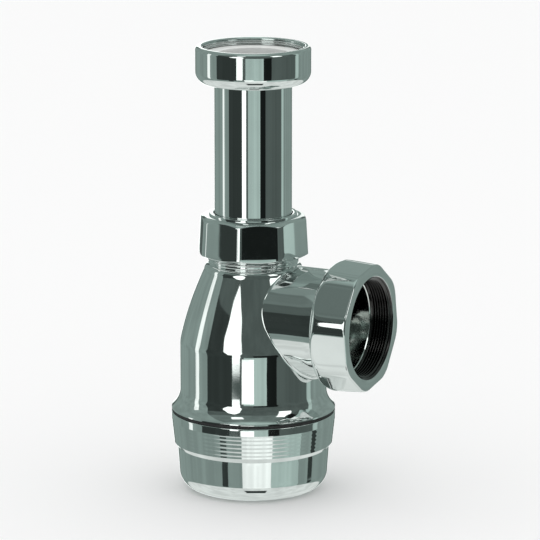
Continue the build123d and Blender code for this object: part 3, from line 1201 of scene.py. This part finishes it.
@dataclass
class CouplingNut:
    """The round nut that takes the basin waste, and its washer."""

    outer_r: float = 23.85
    bottom_z: float = 171.1
    top_z: float = 186.6
    low_rounding: float = 5.0
    top_rounding: float = 1.9
    floor: float = 3.18
    bore_r: float = 16.35
    relief_r: float = 21.35
    thread_r: float = 20.95
    thread_length: float = 2.6
    chamfer: float = 0.5
    washer_bore_r: float = 15.0
    washer_r: float = 20.7
    washer_low_z: float = 180.45
    washer_thickness: float = 3.0

    def foot_z(self) -> float:
        """Give the height of the thread's foot."""
        return self.top_z - self.chamfer - self.thread_length

    def section(self) -> Outline:
        """Draw the nut's section."""
        outline = Outline(self.bore_r, self.bottom_z)
        outline.to(self.outer_r - self.low_rounding, self.bottom_z, 2)
        outline.leaving((1, 0), (self.outer_r, self.bottom_z + self.low_rounding), 22)
        outline.to(self.outer_r, self.top_z, 6)
        outline.to(self.thread_r + self.chamfer, self.top_z)
        outline.to(self.thread_r, self.top_z - self.chamfer)
        outline.to(self.relief_r, self.top_z - self.chamfer - 0.05)
        outline.to(self.relief_r, self.foot_z()).to(self.relief_r, self.bottom_z + self.floor, 3)
        outline.to(self.bore_r, self.bottom_z + self.floor)
        outline.soften((self.bore_r, self.bottom_z + self.floor), 0.3, 3)
        outline.soften((self.outer_r, self.top_z), self.top_rounding, 12)
        outline.soften((self.thread_r + self.chamfer, self.top_z), 0.25, 4)
        return outline

    def washer_section(self) -> Outline:
        """Draw the washer's section."""
        high_z = self.washer_low_z + self.washer_thickness
        outline = Outline(self.washer_bore_r, self.washer_low_z)
        outline.to(self.washer_r, self.washer_low_z).to(self.washer_r, high_z)
        outline.to(self.washer_bore_r, high_z)
        outline.soften((self.washer_r, high_z), 0.5)
        outline.soften((self.washer_bore_r, high_z), 0.5)
        return outline

    def build(self, finishes: Finishes, threads: ThreadTree) -> None:
        """Make the nut, its thread and the washer."""
        nut = turn_section("waste_nut", self.section(), 256)
        hand_over(nut, "coupling_nut", finishes.turned, "coupling_nut")
        inner = Thread(
            self.thread_r + 0.3,
            self.thread_r - 0.5,
            self.thread_length,
            SHOWN_PITCH,
            (0, 0, self.foot_z() - 0.1),
            Facing.INWARD,
            run_out=0.2,
            steps_round=241,
            steps_along=81,
        )
        thread = join_threads(
            "waste_nut_thread", [threads.cut(inner, finishes.turned)], [finishes.turned]
        )
        hand_over(thread, "coupling_nut")
        washer = turn_section("waste_washer", self.washer_section(), 192)
        hand_over(washer, "washer", finishes.nylon, "inlet_washer")


def dress_node(node: str, finish: bpy.types.Material) -> None:
    """Give a CAD node that stays its finish."""
    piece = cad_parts[node]
    piece.data.materials.clear()
    piece.data.materials.append(finish)
    LOG.info("%s: kept from the CAD", node)


class Shade(Enum):
    """The plain greys that the studio's cards come in, as shares of white."""

    BLACK = 0.01
    DARK = 0.035
    DIM = 0.09
    DULL = 0.15
    GREY = 0.25
    PALE = 0.45
    BRIGHT = 0.65
    WHITE = 0.9
    LAMP = 1.3


@dataclass(frozen=True)
class Card:
    """A plain card, flag or lamp, by its bearings from the camera and its heights."""

    name: str
    left_deg: float
    right_deg: float
    low_deg: float
    high_deg: float
    shade: Shade
    edge_deg: float = 1.0


@dataclass(frozen=True)
class Softbox:
    """The tall lamp left of the camera, which narrows to a point at its top, in degrees."""

    middle: float = -31.5
    half_width: float = 16.5
    tip: float = 31.8
    shoulder: float = 13.0
    foot: Point = (-1.2, -0.4)
    foot_width: float = 0.66
    full_width: Point = (-1.0, 8.0)
    edge: Point = (-0.5, 1.2)

    def glow(self, bench: Bench, bearing_deg: object, height: object) -> bpy.types.NodeSocket:
        """Find how much of the lamp is seen in a direction.

        Args:
            bench: The world's nodes.
            bearing_deg: Socket of the bearing, in degrees.
            height: Socket of the height above the horizon, in degrees.

        Returns:
            Socket of the lamp's share, from 0 to 1.
        """
        below_tip = bench.math("SUBTRACT", self.tip, height)
        below_tip = bench.math("DIVIDE", below_tip, self.tip - self.shoulder, clamp=True)
        width = bench.math("MULTIPLY", bench.math("POWER", below_tip, 0.5), self.half_width)
        low = bench.span(height, *self.full_width, self.foot_width, 1.0)
        width = bench.math("MULTIPLY", width, low)
        off_middle = bench.math("ABSOLUTE", bench.math("SUBTRACT", bearing_deg, self.middle))
        glow = bench.span(bench.math("SUBTRACT", width, off_middle), *self.edge)
        return bench.math("MULTIPLY", glow, bench.span(height, *self.foot))


@dataclass(frozen=True)
class Studio:
    """The camera, the pale floor and the soft surroundings."""

    azimuth_deg: float = 26.3
    elevation_deg: float = 12.4
    distance: float = 1650.0
    look_right: float = 6.9
    look_height: float = 92.41
    lens: float = 265.44
    brightness: float = 1.22
    table_near_deg: float = -28.4
    drift_scale: float = 3.0
    drift_deg: float = 14.0
    cloud_scale: float = 5.0
    cloud_shades: Point = (0.88, 1.08)
    cool_cast: Colour = (0.78, 1.0, 0.93)
    clean_cast: Colour = (0.94, 1.0, 0.97)
    ceiling_deg: Point = (66.0, 76.0)
    floor_light: float = 1.06

    def camera(self) -> None:
        """Set the camera at the photograph's angle."""
        turn, tilt = math.radians(self.azimuth_deg), math.radians(self.elevation_deg)
        right = Vector((math.cos(turn), math.sin(turn), 0))
        back = Vector(
            (math.sin(turn) * math.cos(tilt), -math.cos(turn) * math.cos(tilt), math.sin(tilt))
        )
        look = right * self.look_right + Vector((0, 0, self.look_height))
        data = bpy.data.cameras.new("studio_camera")
        data.sensor_width = 36.0
        data.lens = self.lens
        data.clip_start, data.clip_end = 0.1, 20.0
        camera = bpy.data.objects.new("studio_camera", data)
        camera.location = (look + back * self.distance) * MM
        camera.rotation_mode = "QUATERNION"
        camera.rotation_quaternion = (-back).to_track_quat("-Z", "Y")
        bpy.context.scene.collection.objects.link(camera)
        bpy.context.scene.camera = camera

    def floor(self) -> None:
        """Lay the pale floor, which polished metal doesn't mirror."""
        mesh = bpy.data.meshes.new("floor")
        half, level = 6.0, -0.0001
        corners = [(-half, -half), (half, -half), (half, half), (-half, half)]
        mesh.from_pydata([(x, y, level) for x, y in corners], [], [(0, 1, 2, 3)])
        material = bpy.data.materials.new("pale_floor")
        material.use_nodes = True
        shader = material.node_tree.nodes["Principled BSDF"]
        shader.inputs["Base Color"].default_value = (0.93, 0.93, 0.93, 1)
        shader.inputs["Roughness"].default_value = 0.9
        mesh.materials.append(material)
        plane = bpy.data.objects.new("floor", mesh)
        plane.visible_glossy = False
        bpy.context.scene.collection.objects.link(plane)

    def cards(self) -> tuple[Card, ...]:
        """List the cards, flags and lamps, each in front of those before it."""
        return (
            Card("lit table", -17, 30, -28.4, -17.5, Shade.WHITE),
            Card("table right", 30, 77, -28.4, -17.5, Shade.PALE),
            # painted shade: dark strips stand in for the shade along the table's edges at left and right
            Card("shaded table edge left", -50, -40, -25.5, -17.5, Shade.DARK),
            Card("shaded table edge right", 93, 103, -26.0, -19.5, Shade.DARK),
            # painted shadow: a dark card low in front stands in for the shadow on the table before the
            # trap
            Card("painted table shadow", -18, 26, -60.0, -44.0, Shade.DARK, 3.0),
            Card("high wall", -77, 70, 30.0, 66.0, Shade.DULL, 4.0),
            Card("dim room", -77, 92, -17.5, 37.0, Shade.DIM, 2.0),
            Card("left wall", -77, -34, -17.5, 22.0, Shade.DARK),
            Card("far table", -15, 21, -17.5, -7.4, Shade.PALE),
            Card("table lamp", -18, 1, -17.5, -12.7, Shade.LAMP),
            Card("black flag", 21, 37, -17.5, -1.0, Shade.BLACK),
            Card("flag arm", 1, 39, -7.4, -1.0, Shade.BLACK),
            Card("softbox foot", -33, -21, -13.8, -1.0, Shade.LAMP, 0.6),
            Card("left strip", -103, -95, -17.5, 22.0, Shade.WHITE),
            Card("right strip", 93, 102, -17.5, 22.0, Shade.PALE),
            Card("high lamp right", 40, 60, 20.0, 44.0, Shade.LAMP, 2.5),
            Card("high lamp left", -43, -20, 45.0, 54.0, Shade.LAMP, 2.5),
            Card("rear lamp", -179, -170, -26.0, 21.0, Shade.LAMP),
            Card("rear flag left", -168, -162, -26.0, 21.0, Shade.DIM),
            Card("rear flag right", 162, 169, -26.0, 21.0, Shade.DIM),
            Card("rear reflector", 171, 179, -26.0, 21.0, Shade.WHITE),
        )

    def colour(self, shade: Shade) -> Colour:
        """Give a shade's colour: the greys take the room's cool cast, and bright cards stay clean."""
        bright = shade in (Shade.BRIGHT, Shade.WHITE, Shade.LAMP)
        red, green, blue = self.clean_cast if bright else self.cool_cast
        return (shade.value * red, shade.value * green, shade.value * blue)

    def pin(
        self, bench: Bench, seen: object, bearing_deg: object, height: object, card: Card
    ) -> object:
        """Stand one card in front of what is seen so far.

        Args:
            bench: The world's nodes.
            seen: Socket or colour of what is seen so far.
            bearing_deg: Socket of the bearing, in degrees.
            height: Socket of the height above the horizon, in degrees.
            card: The card.

        Returns:
            Socket of the colour seen with the card in place.
        """
        edge = card.edge_deg / 2
        cover = bench.span(bearing_deg, card.left_deg - edge, card.left_deg + edge)
        sides = (
            bench.span(bearing_deg, card.right_deg - edge, card.right_deg + edge, 1.0, 0.0),
            bench.span(height, card.low_deg - edge, card.low_deg + edge),
            bench.span(height, card.high_deg - edge, card.high_deg + edge, 1.0, 0.0),
        )
        for side in sides:
            cover = bench.math("MULTIPLY", cover, side)
        mixed = bench.mix(cover, seen, self.colour(card.shade))
        mixed.node.label = card.name
        return mixed

    def surroundings(self) -> None:
        """Lay out what polished metal sees in each direction, and even light for the rest."""
        world = bpy.data.worlds.new("studio_surroundings")
        bpy.context.scene.world = world
        world.use_nodes = True
        world.node_tree.nodes.clear()
        bench = Bench(world.node_tree)
        turn = math.radians(self.azimuth_deg)
        direction = bench.add("ShaderNodeTexCoord").outputs["Generated"]
        view = bench.add("ShaderNodeSeparateXYZ")
        bench.feed(view.inputs[0], direction)
        x, y, z = view.outputs
        rightward = bench.math(
            "MULTIPLY_ADD", y, math.sin(turn), bench.math("MULTIPLY", x, math.cos(turn))
        )
        nearward = bench.math(
            "MULTIPLY_ADD", y, -math.cos(turn), bench.math("MULTIPLY", x, math.sin(turn))
        )
        bearing_deg = bench.math("DEGREES", bench.math("ARCTAN2", rightward, nearward))
        height = bench.math("DEGREES", bench.math("ARCSINE", z))

        # cards hang a little crooked, so their edges wander as the height changes
        drift = bench.noise(direction, self.drift_scale, 1.0)
        sway = bench.math("SUBTRACT", drift, 0.5)
        off_level = bench.math("ABSOLUTE", bench.math("ADD", height, self.elevation_deg))
        sway = bench.math("MULTIPLY", sway, bench.span(off_level, 1.0, 12.0, 0.0, self.drift_deg))
        bearing_deg = bench.math("ADD", bearing_deg, sway)

        near = self.table_near_deg
        seen = bench.mix(
            bench.span(height, near - 1.0, near + 1.0),
            self.colour(Shade.BRIGHT),
            self.colour(Shade.GREY),
        )
        overhead = bench.span(height, *self.ceiling_deg)
        seen = bench.mix(overhead, seen, self.colour(Shade.PALE))
        for card in self.cards():
            seen = self.pin(bench, seen, bearing_deg, height, card)

        cloud = bench.noise(direction, self.cloud_scale, 2.0)
        clouded = bench.add("ShaderNodeMix", data_type="RGBA", blend_type="MULTIPLY")
        clouded.inputs["Factor"].default_value = 1.0
        tints = [socket for socket in clouded.inputs if socket.type == "RGBA"]
        bench.feed(tints[0], seen)
        bench.feed(tints[1], bench.span(cloud, 0.32, 0.68, *self.cloud_shades))
        seen = next(socket for socket in clouded.outputs if socket.type == "RGBA")
        glow = Softbox().glow(bench, bearing_deg, height)
        seen = bench.mix(glow, seen, self.colour(Shade.LAMP))

        mirrored = bench.add("ShaderNodeBackground")
        bench.feed(mirrored.inputs["Color"], seen)
        mirrored.inputs["Strength"].default_value = self.brightness
        plain = bench.add("ShaderNodeBackground")
        plain.inputs["Color"].default_value = (1, 1, 1, 1)
        plain.inputs["Strength"].default_value = self.floor_light
        path = bench.add("ShaderNodeLightPath")
        choice = bench.add("ShaderNodeMixShader")
        bench.feed(choice.inputs[0], path.outputs["Is Glossy Ray"])
        bench.feed(choice.inputs[1], plain.outputs[0])
        bench.feed(choice.inputs[2], mirrored.outputs[0])
        bench.feed(bench.add("ShaderNodeOutputWorld").inputs["Surface"], choice.outputs[0])

    def build(self) -> None:
        """Set up the studio."""
        bpy.context.scene.view_settings.view_transform = "Standard"
        self.camera()
        self.floor()
        self.surroundings()


def main() -> None:
    """Build the studio and then each sub-assembly, from the bowl up."""
    logging.basicConfig(level=logging.INFO, format="%(name)s %(message)s")
    Studio().build()
    finishes = Finishes.build()
    threads = ThreadTree()
    Bowl().build(finishes, threads)
    TrapBody().build(finishes, threads)
    DipTube().build(finishes)
    CompressionNut().build(finishes)
    InletTube().build(finishes)
    CouplingNut().build(finishes, threads)


if __name__ == "__main__":
    main()
